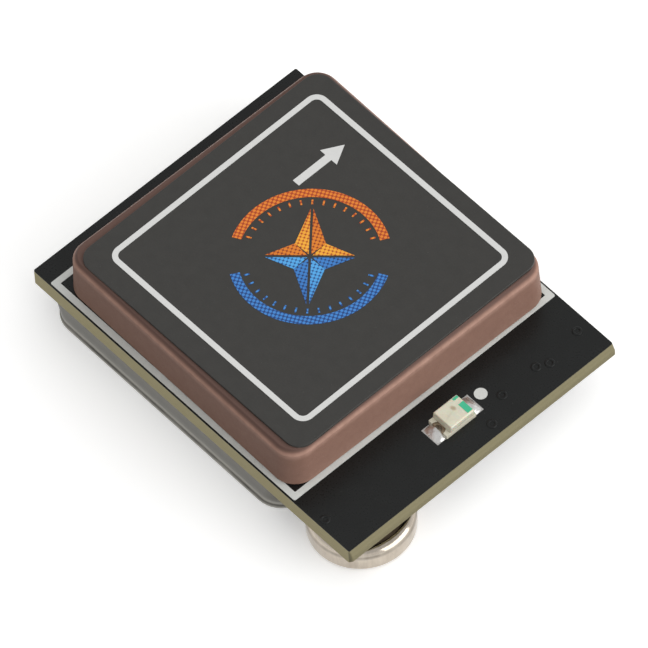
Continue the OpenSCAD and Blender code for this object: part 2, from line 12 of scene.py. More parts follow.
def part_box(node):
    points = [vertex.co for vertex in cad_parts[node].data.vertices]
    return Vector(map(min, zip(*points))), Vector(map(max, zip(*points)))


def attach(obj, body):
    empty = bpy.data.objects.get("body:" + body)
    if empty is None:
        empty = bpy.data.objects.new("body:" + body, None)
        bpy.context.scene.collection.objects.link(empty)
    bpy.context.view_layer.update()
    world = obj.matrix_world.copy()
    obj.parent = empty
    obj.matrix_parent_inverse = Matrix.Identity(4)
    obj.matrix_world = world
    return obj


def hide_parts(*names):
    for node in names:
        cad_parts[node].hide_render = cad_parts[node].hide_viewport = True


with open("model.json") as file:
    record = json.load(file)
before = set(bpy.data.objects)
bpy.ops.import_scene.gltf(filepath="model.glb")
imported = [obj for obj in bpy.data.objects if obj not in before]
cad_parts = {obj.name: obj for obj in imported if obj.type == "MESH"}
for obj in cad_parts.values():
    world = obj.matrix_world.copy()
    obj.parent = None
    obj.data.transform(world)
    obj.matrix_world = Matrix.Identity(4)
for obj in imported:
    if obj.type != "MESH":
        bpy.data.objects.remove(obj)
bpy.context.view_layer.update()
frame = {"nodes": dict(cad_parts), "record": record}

MM = 0.001
BODY = "root"

# Clean-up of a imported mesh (metres, degrees), and the least corner of a block (millimetres)
MERGE = 2e-7
FLAT_ANGLE = 0.3
LEAST_CORNER = 0.02

# Antenna block, stuck down a little turned
BLOCK_SIDE = 18.2
BLOCK_CORNER = 1.35
BLOCK_CHAMFER = 0.25
BLOCK_BROW = 0.36
BLOCK_FOOT = 0.03
BLOCK_DRAFT = 0.1
BLOCK_SOFT = 0.11
BLOCK_TURN = -0.6
BLOCK_TOP_RING = 1.2

# Label film and its print
LABEL_LONG = 17.2
LABEL_WIDE = 17.33
LABEL_SHIFT = (0.025, -0.035)
LABEL_CORNER = 0.95
LABEL_SOFT = 0.05
LABEL_TURN = 0.36
LABEL_TOP_RING = 1.0
INK = 0.012
DIAL_NORTH = 135
DIAL_RADIUS = 4.3
DIAL_LINE = 0.52
DIAL_SPAN = 74
DIAL_STEPS = 48
TICK_COUNT = 15
TICK_STEP = 10
TICK_LONG = 0.3
TICK_WIDE = 0.1
TICK_IN = 0.32
STAR_LONG = 3.05
STAR_SHORT = 2.35
STAR_WAIST = 1.15
STAR_GAP = 0.07
DOT_PITCH = 0.21
DOT_TURN = 30
ARROW_AT = (-3.95, 4.4)
ARROW_LONG = 3.5
ARROW_HEAD = 1.3
ARROW_SHAFT = 0.46
ARROW_HEAD_SHARE = 0.9

# Tented vias beside the antenna, where the mask stands up in a ring
VIAS = [(10.18, 8.55), (10.66, 6.15), (10.34, 5.46), (10.4, 2.98), (11.36, 1.37), (9.7, -8.89)]
VIA_RADIUS = 0.21
VIA_RING = 0.16
VIA_RISE = 0.05
VIA_STEPS = 36
VIA_SECTION_STEPS = 12

# Board edge, scored from both faces and broken along the score
SCORE_DEPTH = 0.4
SCORE_NOSE = 0.2
SCORE_IN = 0.1
SCORE_FOOT = 0.06
SCORE_NEAR = 0.11
SAME_HEIGHT = 0.01

# Shield can
SHIELD_CORNER = 1.0
SHIELD_FOOT_CORNER = 0.7
SHIELD_LIP = 0.1
SHIELD_LIP_T = 0.09
SHIELD_LIP_SLOPE = 0.1
SHIELD_WALL = 0.2
SHIELD_SOFT = 0.05
SHIELD_FACE_RING = 0.6
SHIELD_FLOOR_RING = 1.2

# Backup cell and its tabs; the painted highlight and the painted dark reflection are bands of (height, width)
CELL_RIM = 0.5
CELL_FOOT = 0.24
CELL_RECESS = 0.03
CELL_RECESS_RADII = (2.05, 2.1)
CELL_HIGHLIGHT = (1.75, 0.36)
CELL_DARK_REFLECTION = (1.22, 0.2)
TAB_EDGES = {"battery_positive_tab": 0.03, "battery_negative_tab": 0.02}

# Status lamp and its solder; chip and wire are (x, y, width, length, turn) from the middle of the lens
LAMP_EDGE = 0.02
LENS_EDGE = 0.06
LAMP_CHIP = (-0.16, 0.1, 0.2, 0.14, 0.3)
LAMP_WIRE = (0.04, -0.3, 0.08, 0.45, 0.32)
SOLDER_CLEAR = 0.03
SOLDER_TAPER = 0.14
SOLDER_SWELL = 0.13
SOLDER_RIPPLE = 0.012
SOLDER_MERGE = 1e-8

# Studio: floor and how much whiter it looks than it is lit, side and level of the light, softbox in metres
FLOOR_HALF = 3000
FLOOR_DROP = 0.005
FLOOR_LIFT = 0.285
LIGHT_SIDE = (0.42, 0.62, 0.66)
TENT_LEVEL = 1.18
OVERHEAD_LEVEL = 0.56
SOFTBOX_SIDE = (0.88, 0.36, 0.28)
SOFTBOX_DISTANCE = 0.9
SOFTBOX_SIZE = 0.9
SOFTBOX_LEVEL = 0.56

# Camera and its place
CAMERA_AIM = (0.628, -0.667, 3.2)
CAMERA_DISTANCE = 628.3
CAMERA_AZIMUTH = 51.128
CAMERA_ELEVATION = 55.654
CAMERA_ROLL = -4.334
CAMERA_LENS = 666.67
CAMERA_SENSOR = 36
CAMERA_CLIP = (0.01, 20)

scene = bpy.context.scene


def box_mm(node):
    """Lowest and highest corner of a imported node, in millimetres."""
    low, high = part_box(node)
    return Vector(low) / MM, Vector(high) / MM


def middle(node):
    """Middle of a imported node's box, in millimetres."""
    low, high = box_mm(node)
    return (low + high) / 2


def place_at(x, y, z, turn=0.0):
    """Place of a piece at a point in millimetres, turned by degrees about the upright axis."""
    return Matrix.Translation((x, y, z)) @ Matrix.Rotation(math.radians(turn), 4, "Z")


# Mesh making


def mesh_from(name, points, faces, place=None, merge=None):
    """Mesh of points in millimetres, moved by place and merged, with its faces turned outwards."""
    place = place or Matrix()
    mesh = bpy.data.meshes.new(name)
    mesh.from_pydata([(place @ Vector(p)) * MM for p in points], [], faces)
    bm = bmesh.new()
    bm.from_mesh(mesh)
    if merge:
        bmesh.ops.remove_doubles(bm, verts=bm.verts, dist=merge)
    bmesh.ops.recalc_face_normals(bm, faces=bm.faces)
    bm.to_mesh(mesh)
    bm.free()
    return mesh


def packed_mesh(node):
    """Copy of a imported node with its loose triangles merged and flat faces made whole."""
    source = frame["nodes"][node].data
    mesh = bpy.data.meshes.new(node)
    mesh.from_pydata([v.co.copy() for v in source.vertices], [], [list(p.vertices) for p in source.polygons])
    bm = bmesh.new()
    bm.from_mesh(mesh)
    bmesh.ops.remove_doubles(bm, verts=bm.verts, dist=MERGE)
    bmesh.ops.dissolve_limit(bm, angle_limit=math.radians(FLAT_ANGLE), verts=bm.verts, edges=bm.edges)
    bm.to_mesh(mesh)
    bm.free()
    return mesh


def settled(mesh, edge=0.0, segments=3, sharp=35):
    """The mesh with its edges rounded by edge and its flat faces shaded flat right up to them."""
    mesh.shade_smooth()
    mesh.set_sharp_from_angle(angle=math.radians(sharp))
    work = bpy.data.objects.new("work", mesh)
    scene.collection.objects.link(work)
    if edge:
        bevel = work.modifiers.new("edges", "BEVEL")
        bevel.width = edge * MM
        bevel.segments = segments
        bevel.limit_method = "ANGLE"
        bevel.angle_limit = math.radians(sharp)
        bevel.use_clamp_overlap = True
    normals = work.modifiers.new("normals", "WEIGHTED_NORMAL")
    normals.keep_sharp = not edge
    graph = bpy.context.evaluated_depsgraph_get()
    done = bpy.data.meshes.new_from_object(work.evaluated_get(graph))
    done.name = mesh.name
    bpy.data.objects.remove(work)
    bpy.data.meshes.remove(mesh)
    return done


def piece(name, mesh, finish, stands_for=()):
    """A piece of the module, on its body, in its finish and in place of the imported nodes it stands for."""
    obj = bpy.data.objects.new(name, mesh)
    scene.collection.objects.link(obj)
    mesh.materials.clear()
    mesh.materials.append(finish)
    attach(obj, BODY)
    if stands_for:
        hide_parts(*stands_for)


def softened(path, radius, steps=5, share=0.45):
    """Path of (inset, height) points with each inner corner rounded, over at most a share of its two sides."""
    points = [Vector(p) for p in path]
    out = [points[0]]
    for before, corner, after in zip(points, points[1:], points[2:]):
        a, b = before - corner, after - corner
        half = a.angle(b) / 2
        cut = min(radius / math.tan(half), share * a.length, share * b.length)
        start, end = corner + a.normalized() * cut, corner + b.normalized() * cut
        for i in range(steps + 1):
            t = i / steps
            out.append(start * (1 - t) ** 2 + corner * 2 * t * (1 - t) + end * t ** 2)
    return [tuple(p) for p in out + [points[-1]]]


def round_outline(long, wide, corner, steps=10):
    """Outline of a rectangle with round corners, in order."""
    out = []
    for turn, (x, y) in enumerate([(1, 1), (-1, 1), (-1, -1), (1, -1)]):
        for i in range(steps + 1):
            a = math.radians(90 * (turn + i / steps))
            out.append((x * (long / 2 - corner) + corner * math.cos(a),
                        y * (wide / 2 - corner) + corner * math.sin(a)))
    return out


def round_block(name, long, wide, corner, edge, place, foot_corner=0.0):
    """Round-cornered block whose side follows an edge of (inset, height) points; foot_corner rounds its foot more."""
    top = max(z for _, z in edge)
    rings = []
    for inset, z in edge:
        outline = round_outline(long - 2 * inset, wide - 2 * inset,
                                max(corner - inset + foot_corner * (1 - z / top), LEAST_CORNER))
        rings.append([(x, y, z) for x, y in outline])
    count = len(rings[0])
    points = [p for ring in rings for p in ring]
    faces = [list(range(count))[::-1], [(len(rings) - 1) * count + i for i in range(count)]]
    for r in range(len(rings) - 1):
        for i in range(count):
            j = (i + 1) % count
            faces.append([r * count + i, r * count + j, (r + 1) * count + j, (r + 1) * count + i])
    return mesh_from(name, points, faces, place)


def turned(name, outline, place, steps=96):
    """Solid of revolution from an outline of (radius, height) points that starts and ends on the axis."""
    points, faces, rings = [], [], []
    for radius, z in outline:
        if radius < 1e-6:
            rings.append([len(points)])
            points.append((0, 0, z))
        else:
            rings.append([len(points) + i for i in range(steps)])
            for i in range(steps):
                a = 2 * math.pi * i / steps
                points.append((radius * math.cos(a), radius * math.sin(a), z))
    for low, high in zip(rings, rings[1:]):
        for i in range(steps):
            j = (i + 1) % steps
            face = [low[i % len(low)], low[j % len(low)], high[j % len(high)], high[i % len(high)]]
            face = list(dict.fromkeys(face))
            if len(face) > 2:
                faces.append(face)
    return mesh_from(name, points, faces, place)


def arc(centre, radius, start, end, steps=12):
    """Points of an arc, with its angles in degrees."""
    angles = [math.radians(start + (end - start) * i / steps) for i in range(steps + 1)]
    return [(centre[0] + radius * math.cos(a), centre[1] + radius * math.sin(a)) for a in angles]


def print_mesh(name, outlines, place):
    """Flat print: each outline stands as a closed plate, as high as the ink."""
    points, faces = [], []
    for outline in outlines:
        base, count = len(points), len(outline)
        points += [(x, y, 0) for x, y in outline] + [(x, y, INK) for x, y in outline]
        faces.append([base + i for i in range(count)][::-1])
        faces.append([base + count + i for i in range(count)])
        for i in range(count):
            j = (i + 1) % count
            faces.append([base + i, base + j, base + count + j, base + count + i])
    return mesh_from(name, points, faces, place)


# Shader making


class Recipe:
    """A shader tree, with short calls for the nodes that the finishes are made of."""

    def __init__(self, tree):
        self.tree = tree

    def wire(self, source, socket):
        """Joins a socket to an input, or sets the input to a plain value."""
        if isinstance(source, bpy.types.NodeSocket):
            self.tree.links.new(source, socket)
        elif source is not None:
            socket.default_value = source

    def node(self, kind, **settings):
        made = self.tree.nodes.new(kind)
        for key, value in settings.items():
            setattr(made, key, value)
        return made

    def place(self):
        """Object coordinates, in metres."""
        return self.node("ShaderNodeTexCoord").outputs["Object"]

    def mapped(self, vector, location=(0, 0, 0), rotation=(0, 0, 0), scale=(1, 1, 1)):
        made = self.node("ShaderNodeMapping", vector_type="TEXTURE")
        self.wire(vector, made.inputs["Vector"])
        made.inputs["Location"].default_value = location
        made.inputs["Rotation"].default_value = rotation
        made.inputs["Scale"].default_value = scale
        return made.outputs["Vector"]

    def parts(self, vector):
        made = self.node("ShaderNodeSeparateXYZ")
        self.wire(vector, made.inputs[0])
        return made.outputs

    def joined(self, x, y, z):
        made = self.node("ShaderNodeCombineXYZ")
        for source, socket in zip((x, y, z), made.inputs):
            self.wire(source, socket)
        return made.outputs[0]

    def math(self, operation, a, b=None, c=None, clamp=False):
        made = self.node("ShaderNodeMath", operation=operation, use_clamp=clamp)
        for source, socket in zip((a, b, c), made.inputs):
            self.wire(source, socket)
        return made.outputs[0]

    def times(self, a, b):
        return self.math("MULTIPLY", a, b)

    def far(self, x, y):
        """Distance of a point from the middle."""
        return self.math("SQRT", self.math("ADD", self.times(x, x), self.times(y, y)))

    def span(self, value, low, high, to_low=0.0, to_high=1.0, smooth=False):
        made = self.node("ShaderNodeMapRange", interpolation_type="SMOOTHSTEP" if smooth else "LINEAR")
        for source, name in zip((value, low, high, to_low, to_high),
                                ("Value", "From Min", "From Max", "To Min", "To Max")):
            self.wire(source, made.inputs[name])
        return made.outputs[0]

    def band(self, height, rise, fall, smooth=True):
        """1 between a rise and a fall, each a pair of heights in millimetres, and 0 outside them."""
        up = self.span(height, rise[0] * MM, rise[1] * MM, smooth=smooth)
        down = self.span(height, fall[0] * MM, fall[1] * MM, 1.0, 0.0, smooth=smooth)
        return self.times(up, down)

    def mix(self, factor, a, b):
        made = self.node("ShaderNodeMix", data_type="RGBA")
        self.wire(factor, made.inputs[0])
        for source, socket in ((a, made.inputs[6]), (b, made.inputs[7])):
            self.wire((*source, 1.0) if isinstance(source, tuple) else source, socket)
        return made.outputs[2]

    def noise(self, vector, scale, detail, roughness=0.55):
        made = self.node("ShaderNodeTexNoise")
        self.wire(vector, made.inputs["Vector"])
        self.wire(scale, made.inputs["Scale"])
        made.inputs["Detail"].default_value = detail
        made.inputs["Roughness"].default_value = roughness
        return made.outputs[0]

    def use(self, group, **inputs):
        """Places a shared group and gives back its outputs."""
        made = self.node("ShaderNodeGroup", node_tree=group)
        for name, source in inputs.items():
            self.wire(source, made.inputs[name.replace("_", " ")])
        return made.outputs

    def bump(self, height, depth):
        """Normal of a relief that stands depth millimetres high."""
        made = self.node("ShaderNodeBump")
        self.wire(height, made.inputs["Height"])
        made.inputs["Distance"].default_value = depth * MM
        return made.outputs[0]

    def surface(self, colour, roughness, normal, **plain):
        """Principled surface into the material's output; plain holds the values that are the same all over."""
        shader = self.node("ShaderNodeBsdfPrincipled")
        self.wire((*colour, 1.0) if isinstance(colour, tuple) else colour, shader.inputs["Base Color"])
        self.wire(roughness, shader.inputs["Roughness"])
        self.wire(normal, shader.inputs["Normal"])
        for name, value in plain.items():
            shader.inputs[name.replace("_", " ")].default_value = value
        out = self.node("ShaderNodeOutputMaterial")
        self.tree.links.new(shader.outputs[0], out.inputs["Surface"])


def per_mm(size):
    """Texture scale at which one cell is size millimetres."""
    return 1 / (size * MM)


def new_group(name, inputs, outputs):
    """Empty shared group with named sockets, its recipe, and its input and output nodes."""
    tree = bpy.data.node_groups.new(name, "ShaderNodeTree")
    for socket, kind in inputs:
        tree.interface.new_socket(socket, in_out="INPUT", socket_type="NodeSocket" + kind)
    for socket in outputs:
        tree.interface.new_socket(socket, in_out="OUTPUT", socket_type="NodeSocketFloat")
    r = Recipe(tree)
    return tree, r, r.node("NodeGroupInput").outputs, r.node("NodeGroupOutput").inputs


def fine_grain():
    """Grain of a pressed or printed surface: a broad mottle, a fine grain and sparse specks."""
    tree, r, i, o = new_group("fine_grain", [("Vector", "Vector"), ("Grain Size", "Float")],
                              ["Mottle", "Grain", "Specks"])
    scale = r.math("DIVIDE", 1.0, i["Grain Size"])
    r.wire(r.noise(i["Vector"], r.times(scale, 0.13), 4.0), o["Mottle"])
    grain = r.noise(i["Vector"], scale, 2.0)
    r.wire(grain, o["Grain"])
    r.wire(r.span(r.noise(i["Vector"], r.times(scale, 0.6), 1.0), 0.68, 0.74), o["Specks"])
    return tree


def painted_light_band():
    """Broken band for painted light along an edge that lies at one height, strongest at the edge."""
    tree, r, i, o = new_group("painted_light_band", [("Vector", "Vector"), ("Edge Height", "Float"), ("Band Width", "Float"),
                                            ("Break Size", "Float")], ["Wear"])
    off = r.math("ABSOLUTE", r.math("SUBTRACT", r.parts(i["Vector"])[2], i["Edge Height"]))
    band = r.math("SUBTRACT", 1.0, r.math("DIVIDE", off, i["Band Width"]), clamp=True)
    broken = r.span(r.noise(i["Vector"], r.math("DIVIDE", 1.0, i["Break Size"]), 3.0), 0.3, 0.7)
    r.wire(r.times(band, broken), o["Wear"])
    return tree


def metal_scuffs():
    """Drawing marks and handling of sheet metal: long streaks, cloudy patches and a waviness."""
    tree, r, i, o = new_group("metal_scuffs", [("Vector", "Vector"), ("Streak Size", "Float")],
                              ["Streaks", "Clouds", "Waves"])
    scale = r.math("DIVIDE", 1.0, i["Streak Size"])
    along = r.mapped(i["Vector"], rotation=(0, 0, 0.6), scale=(1, 14, 9))
    r.wire(r.noise(along, scale, 3.0, 0.65), o["Streaks"])
    r.wire(r.noise(i["Vector"], r.times(scale, 0.16), 4.0, 0.6), o["Clouds"])
    r.wire(r.noise(i["Vector"], r.times(scale, 0.05), 1.0), o["Waves"])
    return tree


def dust():
    """Sparse dust and lint: small pale flecks."""
    tree, r, i, o = new_group("dust", [("Vector", "Vector"), ("Fleck Size", "Float")], ["Flecks"])
    cells = r.node("ShaderNodeTexVoronoi")
    r.wire(i["Vector"], cells.inputs["Vector"])
    r.wire(r.math("DIVIDE", 0.12, i["Fleck Size"]), cells.inputs["Scale"])
    near = r.span(cells.outputs["Distance"], 0.04, 0.09, 1.0, 0.0)
    kept = r.span(r.noise(i["Vector"], r.math("DIVIDE", 0.05, i["Fleck Size"]), 1.0), 0.56, 0.6)
    r.wire(r.times(near, kept), o["Flecks"])
    return tree


def dot_screen():
    """Printer's dots on a square screen: Tone is the share that the dots cover."""
    tree, r, i, o = new_group("dot_screen", [("Vector", "Vector"), ("Pitch", "Float"), ("Tone", "Float")], ["Dots"])
    x, y, _ = r.parts(i["Vector"])
    cells = [r.math("FRACT", r.math("DIVIDE", axis, i["Pitch"])) for axis in (x, y)]
    off = r.far(*(r.math("SUBTRACT", cell, 0.5) for cell in cells))
    size = r.times(r.math("SQRT", i["Tone"]), 0.62)
    r.wire(r.span(r.math("SUBTRACT", off, size), -0.09, 0.09, 1.0, 0.0), o["Dots"])
    return tree


GRAIN = fine_grain()
# Shared band that paints highlights, reflections and shade at one height
LIGHT_BAND = painted_light_band()
SCUFFS = metal_scuffs()
DUST = dust()
DOTS = dot_screen()


def finish(name):
    """New material and the recipe of its empty tree."""
    made = bpy.data.materials.new(name)
    made.use_nodes = True
    made.node_tree.nodes.clear()
    return made, Recipe(made.node_tree)


# Finishes


def solder_mask():
    made, r = finish("black_solder_mask")
    at = r.place()
    x, y, _ = r.parts(at)
    weave = [r.math("SINE", r.times(axis, 2 * math.pi * per_mm(0.42))) for axis in (x, y)]
    cloth = r.times(*weave)
    grain = r.use(GRAIN, Vector=at, Grain_Size=0.12 * MM)
    flecks = r.use(DUST, Vector=at, Fleck_Size=0.035 * MM)["Flecks"]
    black = r.mix(grain["Mottle"], (0.007, 0.0078, 0.0076), (0.0115, 0.0126, 0.0122))
    colour = r.mix(r.times(flecks, 0.35), black, (0.16, 0.16, 0.155))
    rough = r.span(grain["Grain"], 0.25, 0.75, 0.24, 0.36)
    uneven = r.math("MULTIPLY_ADD", grain["Grain"], 0.3, grain["Mottle"])
    relief = r.math("MULTIPLY_ADD", cloth, 0.12, uneven)
    r.surface(colour, rough, r.bump(relief, 0.004), Specular_IOR_Level=0.32)
    return made


def legend_ink():
    made, r = finish("white_legend")
    at = r.place()
    grain = r.use(GRAIN, Vector=at, Grain_Size=0.07 * MM)
    white = r.mix(grain["Mottle"], (0.6, 0.62, 0.595), (0.73, 0.745, 0.715))
    colour = r.mix(r.times(grain["Specks"], 0.3), white, (0.42, 0.42, 0.4))
    r.surface(colour, r.span(grain["Grain"], 0.3, 0.7, 0.5, 0.64), r.bump(grain["Grain"], 0.006),
              Specular_IOR_Level=0.35)
    return made


def glass_epoxy():
    """Scored board edge, broken along the score: plies of glass cloth, fibre ends and marks across them, with painted
    shade darkening its far end.
    """
    made, r = finish("glass_epoxy")
    at = r.place()
    z = r.parts(at)[2]
    ply = r.span(r.math("SINE", r.times(z, 2 * math.pi * per_mm(0.19))), -1.0, 1.0)
    fibres = r.noise(r.mapped(at, scale=(4.0, 4.0, 0.7)), per_mm(0.09), 3.0, 0.7)
    marks = r.noise(r.mapped(at, scale=(1.0, 1.0, 30.0)), per_mm(0.16), 2.0, 0.6)
    grain = r.use(GRAIN, Vector=at, Grain_Size=0.05 * MM)
    straw = r.mix(fibres, (0.495, 0.43, 0.22), (0.69, 0.615, 0.365))
    lined = r.mix(r.times(ply, 0.35), straw, (0.72, 0.65, 0.43))
    flecked = r.mix(r.times(grain["Specks"], 0.4), lined, (0.74, 0.69, 0.52))
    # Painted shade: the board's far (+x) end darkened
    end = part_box("board_core")[1][0]
    far_end_shade = r.span(r.parts(at)[0], end - 0.1 * MM, end - 0.02 * MM, 0.0, 0.79)
    colour = r.mix(far_end_shade, flecked, (0.143, 0.127, 0.07))
    relief = r.math("ADD", r.times(marks, 0.8), fibres)
    r.surface(colour, r.span(fibres, 0.3, 0.7, 0.6, 0.78), r.bump(relief, 0.02), Specular_IOR_Level=0.3)
    return made


def fired_ceramic():
    """Brown dielectric ceramic: fine pressed grain, a painted highlight along its shoulder that is partly pale
    abrasion, and painted shade on the chamfer above it.
    """
    made, r = finish("brown_ceramic")
    at = r.place()
    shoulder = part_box("antenna_ceramic")[1][2] - BLOCK_BROW * MM
    above = r.math("SUBTRACT", r.parts(at)[2], shoulder)
    grain = r.use(GRAIN, Vector=at, Grain_Size=0.06 * MM)
    brown = r.mix(grain["Mottle"], (0.255, 0.144, 0.108), (0.332, 0.195, 0.15))
    fine = r.mix(r.times(grain["Grain"], 0.25), brown, (0.235, 0.13, 0.098))
    flecked = r.mix(r.times(grain["Specks"], 0.3), fine, (0.38, 0.26, 0.215))
    # Painted shade: the chamfer above the shoulder, darkened more towards its top
    chamfer_shade = r.span(above, 0.08 * MM, 0.3 * MM, 0.0, 0.85, smooth=True)
    chamfer = r.mix(chamfer_shade, flecked, (0.11, 0.066, 0.056))
    # Painted highlight along the shoulder, partly pale abrasion of the edge, broken by the mottle
    line = r.band(above, (-0.4, 0.0), (0.02, 0.22))
    highlight_band = r.times(line, r.span(grain["Mottle"], 0.3, 0.7, 0.55, 1.0))
    colour = r.mix(highlight_band, chamfer, (0.465, 0.283, 0.222))
    rough = r.span(grain["Grain"], 0.25, 0.75, 0.42, 0.6)
    r.surface(colour, rough, r.bump(r.math("ADD", grain["Grain"], grain["Mottle"]), 0.006), Specular_IOR_Level=0.1)
    return made


def label_film():
    made, r = finish("charcoal_label")
    at = r.place()
    grain = r.use(GRAIN, Vector=at, Grain_Size=0.09 * MM)
    flecks = r.use(DUST, Vector=at, Fleck_Size=0.03 * MM)["Flecks"]
    film = r.mix(grain["Mottle"], (0.037, 0.0357, 0.0325), (0.0515, 0.0497, 0.0452))
    screened = r.mix(r.times(grain["Grain"], 0.35), film, (0.028, 0.027, 0.025))
    colour = r.mix(r.times(flecks, 0.3), screened, (0.2, 0.2, 0.19))
    rough = r.span(grain["Grain"], 0.25, 0.75, 0.42, 0.56)
    relief = r.math("MULTIPLY_ADD", grain["Mottle"], 2.0, grain["Grain"])
    r.surface(colour, rough, r.bump(relief, 0.004), Specular_IOR_Level=0.38)
    return made


def white_print():
    made, r = finish("white_print")
    grain = r.use(GRAIN, Vector=r.place(), Grain_Size=0.06 * MM)
    white = r.mix(grain["Mottle"], (0.67, 0.67, 0.655), (0.75, 0.75, 0.735))
    colour = r.mix(r.times(grain["Grain"], 0.25), white, (0.58, 0.58, 0.57))
    r.surface(colour, r.span(grain["Grain"], 0.3, 0.7, 0.42, 0.55), r.bump(grain["Grain"], 0.002),
              Specular_IOR_Level=0.35)
    return made


def screened_print(name, near, far, mesh):
    """Screened ink on the label: dots from the near colour at the dial's middle to the far one, on a dark mesh."""
    made, r = finish(name)
    centre = middle("label_border") * MM
    at = r.mapped(r.place(), location=(centre.x, centre.y, 0), rotation=(0, 0, math.radians(LABEL_TURN + DOT_TURN)))
    x, y, _ = r.parts(at)
    out = r.span(r.far(x, y), 0.5 * MM, DIAL_RADIUS * MM, smooth=True)
    dots = r.use(DOTS, Vector=at, Pitch=DOT_PITCH * MM, Tone=r.span(out, 0.0, 1.0, 0.62, 0.42))["Dots"]
    grain = r.use(GRAIN, Vector=r.place(), Grain_Size=0.05 * MM)
    field = r.mix(r.times(out, 0.6), near, far)
    inked = r.mix(dots, mesh, field)
    colour = r.mix(r.times(grain["Grain"], 0.2), inked, mesh)
    r.surface(colour, r.span(grain["Grain"], 0.3, 0.7, 0.4, 0.52), r.bump(grain["Grain"], 0.002),
              Specular_IOR_Level=0.35)
    return made


def drawn_metal(r, at, size):
    """Tone and relief of drawn sheet: streaks of a size in millimetres, clouds and waves."""
    scuffs = r.use(SCUFFS, Vector=at, Streak_Size=size * MM)
    tone = r.math("ADD", r.times(scuffs["Streaks"], 0.45), r.times(scuffs["Clouds"], 0.55))
    return tone, r.math("MULTIPLY_ADD", scuffs["Waves"], 3.0, scuffs["Streaks"])


def light_band(r, at, band, breaks):
    """Mask of a broken band for painted light at (height, width), in millimetres."""
    return r.use(LIGHT_BAND, Vector=at, Edge_Height=band[0] * MM, Band_Width=band[1] * MM, Break_Size=breaks * MM)["Wear"]


def sheet_metal(name, pale, dark, rough, size, depth, highlight=None, dark_reflection=None):
    """Plated or tinned sheet: streaks from drawing, cloudy patches, a band of painted highlight and one of painted
    dark reflection.
    """
    made, r = finish(name)
    at = r.place()
    tone, relief = drawn_metal(r, at, size)
    colour = r.mix(r.span(tone, 0.3, 0.7), dark, pale)
    if highlight:
        # Painted highlight: a broken band in a paler tone of the metal
        highlighted = tuple(min(1.0, 1.6 * c) for c in pale)
        colour = r.mix(r.times(light_band(r, at, highlight, 0.4), 0.6), colour, highlighted)
    if dark_reflection:
        # Painted dark reflection: a broken band in a dark tone of the metal
        colour = r.mix(r.times(light_band(r, at, dark_reflection, 1.6), 0.85), colour, tuple(0.25 * c for c in dark))
    r.surface(colour, r.span(tone, 0.25, 0.75, rough[0], rough[1]), r.bump(relief, depth), Metallic=1.0)
    return made


def tinned_shield():
    """Tinned can with painted light: painted shade under the board, painted reflections as pale bands above its lip
    and on it, and a painted shade line in the crease between them.
    """
    made, r = finish("tinned_shield")
    at = r.place()
    z = r.parts(at)[2]
    tone, relief = drawn_metal(r, at, 0.35)
    tin = r.mix(r.span(tone, 0.3, 0.7), (0.17, 0.163, 0.145), (0.27, 0.26, 0.235))
    # Painted shade: the can darkened towards the board above it
    board_shade = r.mix(r.span(z, 0.5 * MM, 0.95 * MM, 0.0, 0.38, smooth=True), tin, (0.05, 0.048, 0.043))
    # Painted reflection in a pale band above the lip, and a painted highlight on the lip below it
    highlight_band = r.band(z, (0.2, 0.3), (0.42, 0.62))
    lip = r.band(z, (0.005, 0.02), (0.1, 0.13), smooth=False)
    highlighted = r.mix(r.times(r.math("ADD", highlight_band, lip), 0.34), board_shade, (0.72, 0.7, 0.64))
    # Painted shade: a dark line in the crease above the lip
    crease = light_band(r, at, (0.165, 0.08), 3.0)
    colour = r.mix(r.times(crease, 0.85), highlighted, (0.03, 0.029, 0.026))
    r.surface(colour, r.span(tone, 0.25, 0.75, 0.26, 0.42), r.bump(relief, 0.006), Metallic=1.0)
    return made


def bright_solder():
    made, r = finish("bright_solder")
    at = r.place()
    grain = r.use(GRAIN, Vector=at, Grain_Size=0.03 * MM)
    colour = r.mix(grain["Mottle"], (0.72, 0.71, 0.69), (0.95, 0.945, 0.93))
    r.surface(colour, r.span(grain["Mottle"], 0.3, 0.7, 0.24, 0.46), r.bump(grain["Mottle"], 0.03), Metallic=1.0)
    return made


def lamp_resin():
    """Milky resin, with the chip and its wire showing as soft brown shadows."""
    made, r = finish("milky_resin")
    at = r.place()
    centre = middle("lamp_lens") * MM
    grain = r.use(GRAIN, Vector=at, Grain_Size=0.08 * MM)
    cream = r.mix(grain["Mottle"], (0.66, 0.63, 0.49), (0.78, 0.755, 0.61))
    shadows = []
    for x, y, wide, long, turn in (LAMP_CHIP, LAMP_WIRE):
        spot = r.mapped(at, location=(centre.x + x * MM, centre.y + y * MM, 0), rotation=(0, 0, turn),
                        scale=(wide * MM, long * MM, 1))
        u, v, _ = r.parts(spot)
        shadows.append(r.span(r.far(u, v), 0.35, 1.25, 1.0, 0.0, smooth=True))
    chip = r.mix(r.times(shadows[0], 0.72), cream, (0.36, 0.26, 0.15))
    colour = r.mix(r.times(shadows[1], 0.18), chip, (0.42, 0.35, 0.24))
    r.surface(colour, r.span(grain["Mottle"], 0.3, 0.7, 0.2, 0.34), r.bump(grain["Mottle"], 0.012),
              Subsurface_Weight=0.25, Subsurface_Scale=0.2 * MM, Coat_Weight=0.25, Coat_Roughness=0.12)
    return made


def moulded(name, dark, pale, rough, grain_size):
    """Moulded or fired body: mottled, grainy, with a few specks."""
    made, r = finish(name)
    grain = r.use(GRAIN, Vector=r.place(), Grain_Size=grain_size * MM)
    body = r.mix(grain["Mottle"], dark, pale)
    colour = r.mix(r.times(grain["Specks"], 0.4), body, tuple(min(1.0, 1.35 * c) for c in pale))
    r.surface(colour, r.span(grain["Grain"], 0.25, 0.75, rough[0], rough[1]), r.bump(grain["Grain"], 0.004),
              Specular_IOR_Level=0.4)
    return made


